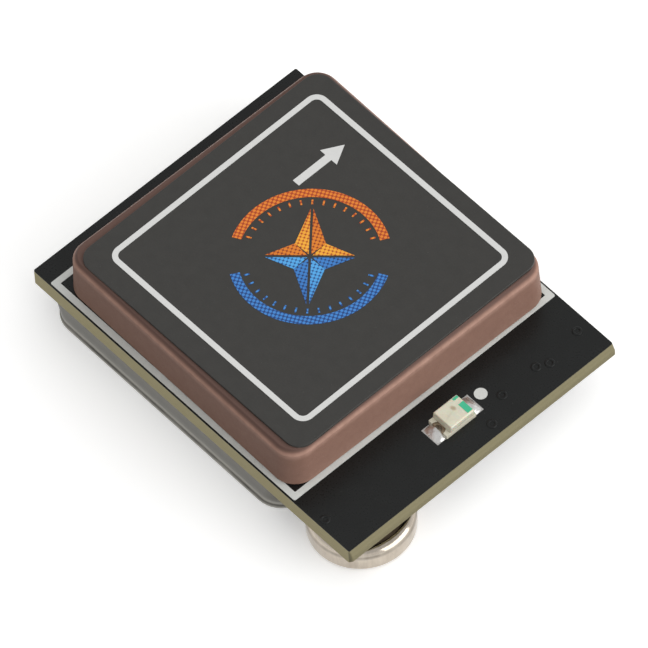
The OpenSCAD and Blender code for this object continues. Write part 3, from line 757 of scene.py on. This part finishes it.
FINISHES = {
    "fr4": glass_epoxy(),
    "solder_mask": solder_mask(),
    "legend_ink": legend_ink(),
    "tinned_pad": sheet_metal("hot_tinned_pad", (0.82, 0.81, 0.79), (0.6, 0.59, 0.57), (0.2, 0.36), 0.2, 0.004),
    "adhesive": moulded("dark_tape", (0.014, 0.014, 0.014), (0.026, 0.026, 0.026), (0.6, 0.8), 0.05),
    "fired_silver": sheet_metal("fired_silver", (0.8, 0.79, 0.76), (0.62, 0.61, 0.58), (0.35, 0.55), 0.1, 0.002),
    "ceramic": fired_ceramic(),
    "pin_metal": sheet_metal("gold_flash", (0.83, 0.62, 0.28), (0.66, 0.48, 0.2), (0.2, 0.35), 0.1, 0.002),
    "solder": bright_solder(),
    "label_film": label_film(),
    "label_ink": white_print(),
    "lamp_base": moulded("cream_laminate", (0.58, 0.55, 0.43), (0.71, 0.68, 0.56), (0.45, 0.6), 0.05),
    "lamp_lens": lamp_resin(),
    "lamp_mark": moulded("green_mark", (0.03, 0.45, 0.23), (0.09, 0.62, 0.37), (0.35, 0.5), 0.05),
    # Cell can: a painted highlight on its rim and a painted dark reflection below it
    "cell_steel": sheet_metal("plated_cell", (0.65, 0.58, 0.495), (0.43, 0.372, 0.305), (0.08, 0.17), 0.25, 0.004,
                              CELL_HIGHLIGHT, CELL_DARK_REFLECTION),
    "gasket": moulded("gasket_ring", (0.05, 0.036, 0.022), (0.085, 0.062, 0.04), (0.4, 0.55), 0.06),
    "tab_nickel": sheet_metal("tab_strip", (0.78, 0.76, 0.72), (0.58, 0.56, 0.52), (0.2, 0.34), 0.2, 0.003),
    "shield_steel": tinned_shield(),
    "chip_resin": moulded("chip_resin", (0.01, 0.01, 0.01), (0.022, 0.022, 0.022), (0.5, 0.7), 0.04),
    "package_ceramic": moulded("package_ceramic", (0.36, 0.29, 0.19), (0.46, 0.39, 0.28), (0.5, 0.65), 0.05),
    "package_lid": sheet_metal("package_lid", (0.76, 0.74, 0.69), (0.6, 0.58, 0.53), (0.25, 0.4), 0.15, 0.002),
    "capacitor_body": moulded("capacitor_tan", (0.25, 0.15, 0.08), (0.36, 0.24, 0.14), (0.4, 0.55), 0.04),
    "resistor_body": moulded("resistor_glaze", (0.008, 0.008, 0.01), (0.018, 0.018, 0.022), (0.25, 0.4), 0.05),
    "coil_body": moulded("coil_white", (0.62, 0.62, 0.59), (0.78, 0.78, 0.74), (0.45, 0.6), 0.05),
    "chip_end": sheet_metal("tinned_end", (0.74, 0.73, 0.71), (0.52, 0.51, 0.49), (0.24, 0.42), 0.12, 0.006),
}
# Dark brown metal that the lamp's ends are dressed in
DARK_NOTCH_METAL = sheet_metal("dark_notch_metal", (0.5, 0.4, 0.29), (0.2, 0.145, 0.09), (0.3, 0.5), 0.12, 0.006)
ORANGE = screened_print("orange_print", (1.0, 0.48, 0.04), (0.78, 0.1, 0.015), (0.42, 0.055, 0.012))
DEEP_ORANGE = screened_print("deep_orange_print", (0.86, 0.26, 0.02), (0.5, 0.05, 0.012), (0.26, 0.03, 0.01))
BLUE = screened_print("blue_print", (0.1, 0.46, 0.92), (0.03, 0.13, 0.55), (0.016, 0.06, 0.22))
DEEP_BLUE = screened_print("deep_blue_print", (0.05, 0.25, 0.68), (0.02, 0.06, 0.3), (0.012, 0.035, 0.13))

for part in frame["record"]["subparts"]:
    frame["nodes"][part["node"]].material_slots[0].material = FINISHES[part["material_slot"]]


def dressed(node, edge, slot, sharp=35, segments=3):
    """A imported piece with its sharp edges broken, in place of its node."""
    piece(node + "_dressed", settled(packed_mesh(node), edge, segments, sharp), FINISHES[slot], [node])


# Board


def scored(node, cuts, shifts):
    """A packed board layer, cut at some heights and with its outline shifted (end, sides) at each listed height."""
    low, high = box_mm(node)
    bm = bmesh.new()
    bm.from_mesh(packed_mesh(node))
    for z in cuts:
        bmesh.ops.bisect_plane(bm, geom=bm.verts[:] + bm.edges[:] + bm.faces[:], plane_co=(0, 0, z * MM),
                               plane_no=(0, 0, 1))
    for v in bm.verts:
        for z, end, sides in shifts:
            if abs(v.co.z / MM - z) > SAME_HEIGHT:
                continue
            if v.co.x / MM > high.x - SCORE_NEAR:
                v.co.x += end * MM
            if v.co.x / MM < low.x + SCORE_NEAR:
                v.co.x -= sides * MM
            if v.co.y / MM > high.y - SCORE_NEAR:
                v.co.y += sides * MM
            if v.co.y / MM < low.y + SCORE_NEAR:
                v.co.y -= sides * MM
    mesh = bpy.data.meshes.new(node)
    bm.to_mesh(mesh)
    bm.free()
    return mesh


def board():
    low, high = box_mm("board_core")
    upper, lower, foot = high.z - SCORE_DEPTH, low.z + SCORE_DEPTH, low.z + SCORE_FOOT
    slant = (SCORE_NOSE + SCORE_IN) * SCORE_FOOT / SCORE_DEPTH - SCORE_IN
    nose = [(upper, SCORE_NOSE, 0), (lower, SCORE_NOSE, 0), (foot, slant, 0), (low.z, -SCORE_IN, -SCORE_IN)]
    core = settled(scored("board_core", [upper, lower, foot], nose), sharp=12)
    piece("scored_core", core, FINISHES["fr4"], ["board_core"])
    low, high = box_mm("solder_mask_bottom")
    under = settled(scored("solder_mask_bottom", [], [(low.z, -SCORE_IN, -SCORE_IN), (high.z, -SCORE_IN, -SCORE_IN)]))
    piece("scored_mask", under, FINISHES["solder_mask"], ["solder_mask_bottom"])


# Antenna block and label


def antenna_block():
    low, high = box_mm("antenna_ceramic")
    tall = high.z - low.z
    shoulder, brow = BLOCK_DRAFT, BLOCK_DRAFT + BLOCK_CHAMFER
    edge = [(BLOCK_FOOT, 0), (0, BLOCK_FOOT), (shoulder, tall - BLOCK_BROW), (brow, tall), (BLOCK_TOP_RING, tall)]
    centre = middle("antenna_ceramic")
    place = place_at(centre.x, centre.y, low.z, BLOCK_TURN)
    mesh = round_block("antenna_block", BLOCK_SIDE, BLOCK_SIDE, BLOCK_CORNER, softened(edge, BLOCK_SOFT), place)
    piece("antenna_block", settled(mesh), FINISHES["ceramic"], ["antenna_ceramic"])


def antenna_label():
    low, high = box_mm("label")
    thick = high.z - low.z
    centre = middle("label")
    place = place_at(centre.x + LABEL_SHIFT[0], centre.y + LABEL_SHIFT[1], low.z, LABEL_TURN)
    edge = softened([(0, 0), (0, thick), (LABEL_TOP_RING, thick)], LABEL_SOFT)
    mesh = round_block("antenna_label", LABEL_LONG, LABEL_WIDE, LABEL_CORNER, edge, place)
    piece("antenna_label", settled(mesh), FINISHES["label_film"], ["label"])


def polar(radius, degrees):
    """Point at an angle from the dial's north, which points to the label's back corner."""
    a = math.radians(DIAL_NORTH - degrees)
    return (radius * math.cos(a), radius * math.sin(a))


def dial_arc(middle_angle):
    """Half of the dial's ring, round middle_angle."""
    inner = DIAL_RADIUS - DIAL_LINE
    angles = [middle_angle - DIAL_SPAN + 2 * DIAL_SPAN * i / DIAL_STEPS for i in range(DIAL_STEPS + 1)]
    return [polar(DIAL_RADIUS, a) for a in angles] + [polar(inner, a) for a in reversed(angles)]


def star_half(tip_angle, side, long):
    """Half of one of the star's four points, on one side of its middle line."""
    tip = Vector(polar(long, tip_angle))
    waist = Vector(polar(STAR_WAIST, tip_angle + side * 45))
    across = Vector(polar(STAR_GAP, tip_angle + side * 90))
    outline = [Vector(polar(2 * STAR_GAP, tip_angle)) + across, waist, tip + across]
    return [tuple(p) for p in outline]


def label_print():
    """Compass dial in two colours with a white arrow, printed inside the label's border."""
    centre = middle("label_border")
    place = place_at(centre.x, centre.y, box_mm("label")[1].z, LABEL_TURN)
    for name, ink, shapes in (
        ("dial_north", ORANGE, [dial_arc(0), star_half(0, -1, STAR_LONG), star_half(90, -1, STAR_SHORT)]),
        ("dial_south", BLUE, [dial_arc(180), star_half(180, -1, STAR_LONG), star_half(270, -1, STAR_SHORT)]),
        ("star_north", DEEP_ORANGE, [star_half(0, 1, STAR_LONG), star_half(270, 1, STAR_SHORT)]),
        ("star_south", DEEP_BLUE, [star_half(180, 1, STAR_LONG), star_half(90, 1, STAR_SHORT)]),
    ):
        piece(name, print_mesh(name, shapes, place), ink)
    half, head, shaft = ARROW_LONG / 2, ARROW_HEAD / 2, ARROW_SHAFT / 2
    neck = half - ARROW_HEAD * ARROW_HEAD_SHARE
    arrow = [(-shaft, -half), (shaft, -half), (shaft, neck), (head, neck), (0, half), (-head, neck), (-shaft, neck)]
    shifted = [(x + ARROW_AT[0], y + ARROW_AT[1]) for x, y in arrow]
    piece("label_arrow", print_mesh("label_arrow", [shifted], place), FINISHES["label_ink"])


# Repeated marks, by Geometry Nodes


def plain_result(name, mesh, tree, finish, slot, **inputs):
    """Runs a tree on a mesh with its named inputs and keeps the result as a plain piece."""
    work = bpy.data.objects.new(name + "_work", mesh)
    scene.collection.objects.link(work)
    grown = work.modifiers.new("grown", "NODES")
    grown.node_group = tree
    sockets = {s.name: s.identifier for s in tree.interface.items_tree if s.in_out == "INPUT"}
    for key, value in inputs.items():
        grown[sockets[key.replace("_", " ")]] = value
    grown[sockets["Finish"]] = finish
    graph = bpy.context.evaluated_depsgraph_get()
    done = bpy.data.meshes.new_from_object(work.evaluated_get(graph))
    done.name = name
    work.modifiers.remove(grown)
    bpy.data.objects.remove(work)
    piece(name, done, finish)


def geometry_tree(name, sizes):
    """Empty Geometry Nodes tree with named sizes and a finish, its recipe, inputs and output."""
    tree = bpy.data.node_groups.new(name, "GeometryNodeTree")
    tree.interface.new_socket("Geometry", in_out="INPUT", socket_type="NodeSocketGeometry")
    for socket, kind in sizes:
        tree.interface.new_socket(socket, in_out="INPUT", socket_type="NodeSocket" + kind)
    tree.interface.new_socket("Finish", in_out="INPUT", socket_type="NodeSocketMaterial")
    tree.interface.new_socket("Geometry", in_out="OUTPUT", socket_type="NodeSocketGeometry")
    r = Recipe(tree)
    return tree, r, r.node("NodeGroupInput").outputs, r.node("NodeGroupOutput").inputs[0]


def closing(r, points, shape, rotation, inputs, output):
    """Copies shape on the points, realizes the copies and gives them the finish."""
    copies = r.node("GeometryNodeInstanceOnPoints")
    r.wire(points, copies.inputs["Points"])
    r.wire(shape, copies.inputs["Instance"])
    r.wire(rotation, copies.inputs["Rotation"])
    real = r.node("GeometryNodeRealizeInstances")
    r.wire(copies.outputs[0], real.inputs[0])
    dressing = r.node("GeometryNodeSetMaterial")
    r.wire(real.outputs[0], dressing.inputs["Geometry"])
    r.wire(inputs["Finish"], dressing.inputs["Material"])
    r.wire(dressing.outputs[0], output)


def raised_rings():
    """Low round rings on a mesh's points."""
    tree, r, i, o = geometry_tree("raised_rings", [("Ring Radius", "Float"), ("Ring Width", "Float"),
                                                  ("Ring Rise", "Float")])
    path = r.node("GeometryNodeCurvePrimitiveCircle")
    path.inputs["Resolution"].default_value = VIA_STEPS
    r.wire(i["Ring Radius"], path.inputs["Radius"])
    section = r.node("GeometryNodeCurvePrimitiveCircle")
    section.inputs["Resolution"].default_value = VIA_SECTION_STEPS
    section.inputs["Radius"].default_value = 1.0
    flat = r.node("GeometryNodeTransform")
    r.wire(section.outputs[0], flat.inputs["Geometry"])
    r.wire(r.joined(r.times(i["Ring Width"], 0.5), i["Ring Rise"], 1.0), flat.inputs["Scale"])
    ring = r.node("GeometryNodeCurveToMesh")
    r.wire(path.outputs[0], ring.inputs["Curve"])
    r.wire(flat.outputs[0], ring.inputs["Profile Curve"])
    smooth = r.node("GeometryNodeSetShadeSmooth")
    r.wire(ring.outputs[0], smooth.inputs[0])
    closing(r, i["Geometry"], smooth.outputs[0], None, i, o)
    return tree


def dial_ticks():
    """Ticks round a dial, from a first angle on by even steps."""
    tree, r, i, o = geometry_tree("dial_ticks", [
        ("Count", "Int"), ("Dial Radius", "Float"), ("Tick Length", "Float"), ("Tick Width", "Float"),
        ("Ink Height", "Float"), ("First Angle", "Float"), ("Step Angle", "Float"), ("Centre", "Vector")])
    points = r.node("GeometryNodePoints")
    r.wire(i["Count"], points.inputs["Count"])
    angle = r.math("MULTIPLY_ADD", r.node("GeometryNodeInputIndex").outputs[0], i["Step Angle"], i["First Angle"])
    x = r.times(r.math("COSINE", angle), i["Dial Radius"])
    y = r.times(r.math("SINE", angle), i["Dial Radius"])
    spot = r.node("ShaderNodeVectorMath", operation="ADD")
    r.wire(r.joined(x, y, 0.0), spot.inputs[0])
    r.wire(i["Centre"], spot.inputs[1])
    placed = r.node("GeometryNodeSetPosition")
    r.wire(points.outputs[0], placed.inputs["Geometry"])
    r.wire(spot.outputs[0], placed.inputs["Position"])
    tick = r.node("GeometryNodeMeshCube")
    r.wire(r.joined(i["Tick Length"], i["Tick Width"], i["Ink Height"]), tick.inputs["Size"])
    turn = r.node("FunctionNodeEulerToRotation")
    r.wire(r.joined(0.0, 0.0, angle), turn.inputs[0])
    closing(r, placed.outputs[0], tick.outputs[0], turn.outputs[0], i, o)
    return tree


def board_vias():
    z = box_mm("solder_mask_top")[1].z
    spots = bpy.data.meshes.new("via_spots")
    spots.from_pydata([(x * MM, y * MM, z * MM) for x, y in VIAS], [], [])
    plain_result("tented_vias", spots, raised_rings(), FINISHES["solder_mask"], "solder_mask",
                 Ring_Radius=VIA_RADIUS * MM, Ring_Width=VIA_RING * MM, Ring_Rise=VIA_RISE * MM)


def label_ticks():
    z = box_mm("label")[1].z
    centre = middle("label_border")
    tree = dial_ticks()
    inner = DIAL_RADIUS - DIAL_LINE - TICK_IN
    half_row = TICK_STEP * (TICK_COUNT - 1) / 2
    for name, ink, row_middle in (("ticks_north", ORANGE, 0), ("ticks_south", BLUE, 180)):
        start = math.radians(DIAL_NORTH + LABEL_TURN + row_middle - half_row)
        plain_result(name, bpy.data.meshes.new(name), tree, ink, "label_ink", Count=TICK_COUNT,
                     Dial_Radius=inner * MM, Tick_Length=TICK_LONG * MM, Tick_Width=TICK_WIDE * MM,
                     Ink_Height=INK * MM, First_Angle=start, Step_Angle=math.radians(TICK_STEP),
                     Centre=(centre.x * MM, centre.y * MM, (z + INK / 2) * MM))


# Status lamp


def solder_mound(side, columns=26, rows=16):
    """Solder from a pad's outer edge up one end of the lamp: hollow, higher in the middle, a little uneven."""
    pad_high = box_mm("lamp_pads")[1]
    end = box_mm("lamp_base")[1].y
    low, high = box_mm("lamp_solder")
    rise = high.z - low.z
    reach = pad_high.y - end - SOLDER_CLEAR
    points, faces = [], []
    for j in range(rows + 1):
        v = j / rows
        for i in range(columns + 1):
            u = 2 * i / columns - 1
            narrow = 1 - SOLDER_TAPER * v ** 3
            x = u * narrow * (high.x - low.x) / 2
            ripple = SOLDER_RIPPLE * math.sin(9 * u + 2 * side) * math.sin(7 * v + 1) * (1 - v)
            crown = (1 - u * u) ** 0.8
            swell = SOLDER_SWELL * crown * math.sin(math.pi * v) ** 0.8
            z = rise * crown * (1 - v) ** 1.7 + swell + ripple
            points.append((x, v * reach * (1 - 0.1 * u * u), max(z, 0.0)))
    top = len(points)
    points += [(x, y, 0.0) for x, y, _ in points]
    wide = columns + 1
    for j in range(rows):
        for i in range(columns):
            a = j * wide + i
            faces.append([a, a + 1, a + wide + 1, a + wide])
            faces.append([top + a + wide, top + a + wide + 1, top + a + 1, top + a])
    rim = list(range(wide)) + [j * wide + columns for j in range(1, rows + 1)]
    rim += [rows * wide + i for i in range(columns - 1, -1, -1)] + [j * wide for j in range(rows - 1, 0, -1)]
    for a, b in zip(rim, rim[1:] + rim[:1]):
        faces.append([a, top + a, top + b, b])
    centre = middle("lamp_pads")
    foot = place_at(centre.x, centre.y + side * (end - centre.y), low.z)
    return points, faces, foot @ Matrix.Diagonal((1, side, 1, 1))


def lamp_solder():
    points, faces = [], []
    for side in (-1, 1):
        some, quads, place = solder_mound(side)
        base = len(points)
        points += [tuple(place @ Vector(p)) for p in some]
        faces += [[base + k for k in quad] for quad in quads]
    mesh = mesh_from("lamp_solder_joints", points, faces, merge=SOLDER_MERGE)
    mesh.shade_smooth()
    mesh.set_sharp_from_angle(angle=math.radians(50))
    piece("lamp_solder_joints", mesh, FINISHES["solder"], ["lamp_solder"])


def status_lamp():
    dressed("lamp_base", LAMP_EDGE, "lamp_base")
    mesh = settled(packed_mesh("lamp_ends"), LAMP_EDGE)
    piece("lamp_ends_dressed", mesh, DARK_NOTCH_METAL, ["lamp_ends"])
    dressed("lamp_lens", LENS_EDGE, "lamp_lens", sharp=25, segments=4)
    lamp_solder()


# Backup cell and shield can


def backup_cell():
    low, high = box_mm("battery_can")
    centre = middle("battery_can")
    radius = (high.x - low.x) / 2
    tall = high.z - low.z
    mouth = radius - CELL_RIM
    seat = box_mm("battery_cap")[0].z - low.z
    place = place_at(centre.x, centre.y, low.z)
    can = [(0, CELL_RECESS), (CELL_RECESS_RADII[0], CELL_RECESS), (CELL_RECESS_RADII[1], 0)]
    can += arc((radius - CELL_FOOT, CELL_FOOT), CELL_FOOT, -90, 0)
    can += arc((mouth, tall - CELL_RIM), CELL_RIM, 0, 90, 20)
    can += [(mouth, seat), (0, seat)]
    mesh = settled(turned("cell_can", can, place), sharp=40)
    piece("cell_can", mesh, FINISHES["cell_steel"], ["battery_can"])


def shield():
    low, high = box_mm("shield_can")
    tall, inner = high.z - low.z, SHIELD_LIP + SHIELD_WALL
    slope_top = SHIELD_LIP_T + SHIELD_LIP_SLOPE
    edge = [(SHIELD_FACE_RING, 0), (0, 0), (0, SHIELD_LIP_T), (SHIELD_LIP, slope_top), (SHIELD_LIP, tall),
            (inner, tall), (inner, SHIELD_WALL), (SHIELD_FLOOR_RING, SHIELD_WALL)]
    centre = middle("shield_can")
    can = round_block("shield_cover", high.x - low.x, high.y - low.y, SHIELD_CORNER, softened(edge, SHIELD_SOFT),
                      place_at(centre.x, centre.y, low.z), SHIELD_FOOT_CORNER)
    piece("shield_cover", settled(can), FINISHES["shield_steel"], ["shield_can"])
    for tab, tab_edge in TAB_EDGES.items():
        dressed(tab, tab_edge, "tab_nickel")


board()
antenna_block()
antenna_label()
label_print()
label_ticks()
board_vias()
status_lamp()
backup_cell()
shield()


# Floor, light and camera


def background_rays(r):
    """1 for rays of the camera, of gloss and through glass, which see the plain background."""
    rays = r.node("ShaderNodeLightPath").outputs
    seen = r.math("MAXIMUM", rays["Is Camera Ray"], rays["Is Glossy Ray"])
    return r.math("MAXIMUM", seen, rays["Is Transmission Ray"])


def studio_floor():
    made, r = finish("studio_floor")
    paper = r.node("ShaderNodeBsdfDiffuse")
    r.wire(r.mix(background_rays(r), (0.2, 0.2, 0.198), (0.93, 0.93, 0.925)), paper.inputs["Color"])
    lift = r.node("ShaderNodeEmission")
    lift.inputs["Color"].default_value = (1, 1, 1, 1)
    r.wire(r.times(background_rays(r), FLOOR_LIFT), lift.inputs["Strength"])
    both = r.node("ShaderNodeAddShader")
    r.wire(paper.outputs[0], both.inputs[0])
    r.wire(lift.outputs[0], both.inputs[1])
    out = r.node("ShaderNodeOutputMaterial")
    r.wire(both.outputs[0], out.inputs["Surface"])
    corners = [(x * FLOOR_HALF, y * FLOOR_HALF, -FLOOR_DROP) for x, y in ((-1, -1), (1, -1), (1, 1), (-1, 1))]
    mesh = mesh_from("floor", corners, [[0, 1, 2, 3]])
    mesh.materials.append(made)
    floor = bpy.data.objects.new("floor", mesh)
    scene.collection.objects.link(floor)


def studio_world():
    """Light tent, brighter on one side; what the camera and the metal see of it is white and greyer overhead."""
    world = bpy.data.worlds.new("studio")
    world.use_nodes = True
    world.node_tree.nodes.clear()
    r = Recipe(world.node_tree)
    way = r.node("ShaderNodeTexCoord").outputs["Generated"]
    towards = r.node("ShaderNodeVectorMath", operation="DOT_PRODUCT")
    r.wire(way, towards.inputs[0])
    towards.inputs[1].default_value = LIGHT_SIDE
    lit = r.mix(r.span(towards.outputs["Value"], -1.0, 1.0), (0.0, 0.0, 0.0), (TENT_LEVEL,) * 3)
    seen = r.mix(r.span(r.parts(way)[2], 0.05, 0.75, smooth=True), (1.0, 1.0, 1.0), (OVERHEAD_LEVEL,) * 3)
    skies = []
    for colour in (lit, seen):
        sky = r.node("ShaderNodeBackground")
        r.wire(colour, sky.inputs["Color"])
        skies.append(sky.outputs[0])
    both = r.node("ShaderNodeMixShader")
    r.wire(background_rays(r), both.inputs[0])
    r.wire(skies[0], both.inputs[1])
    r.wire(skies[1], both.inputs[2])
    out = r.node("ShaderNodeOutputWorld")
    r.wire(both.outputs[0], out.inputs["Surface"])
    scene.world = world


def softbox(name, direction, distance, size, level):
    """Square softbox that adds level to a white surface facing it."""
    lamp = bpy.data.lights.new(name, "AREA")
    lamp.shape = "SQUARE"
    lamp.size = size
    lamp.energy = level * math.pi ** 2 * distance ** 2
    holder = bpy.data.objects.new(name, lamp)
    way = Vector(direction).normalized()
    holder.location = way * distance
    holder.rotation_euler = way.to_track_quat("Z", "Y").to_euler()
    scene.collection.objects.link(holder)


def studio_camera():
    azimuth, elevation, roll = (math.radians(a) for a in (CAMERA_AZIMUTH, CAMERA_ELEVATION, CAMERA_ROLL))
    ahead = Vector((-math.sin(azimuth) * math.cos(elevation), math.cos(azimuth) * math.cos(elevation),
                    -math.sin(elevation)))
    level = ahead.cross(Vector((0, 0, 1))).normalized()
    up = level.cross(ahead)
    right = level * math.cos(roll) + up * math.sin(roll)
    up = right.cross(ahead)
    lens = bpy.data.cameras.new("camera")
    lens.lens = CAMERA_LENS
    lens.sensor_width = CAMERA_SENSOR
    lens.clip_start, lens.clip_end = CAMERA_CLIP
    holder = bpy.data.objects.new("camera", lens)
    turn = Matrix((right, up, -ahead)).transposed().to_4x4()
    holder.matrix_world = Matrix.Translation((Vector(CAMERA_AIM) - ahead * CAMERA_DISTANCE) * MM) @ turn
    scene.collection.objects.link(holder)
    scene.camera = holder


studio_floor()
studio_world()
softbox("side_softbox", SOFTBOX_SIDE, SOFTBOX_DISTANCE, SOFTBOX_SIZE, SOFTBOX_LEVEL)
studio_camera()
scene.view_settings.view_transform = "Standard"
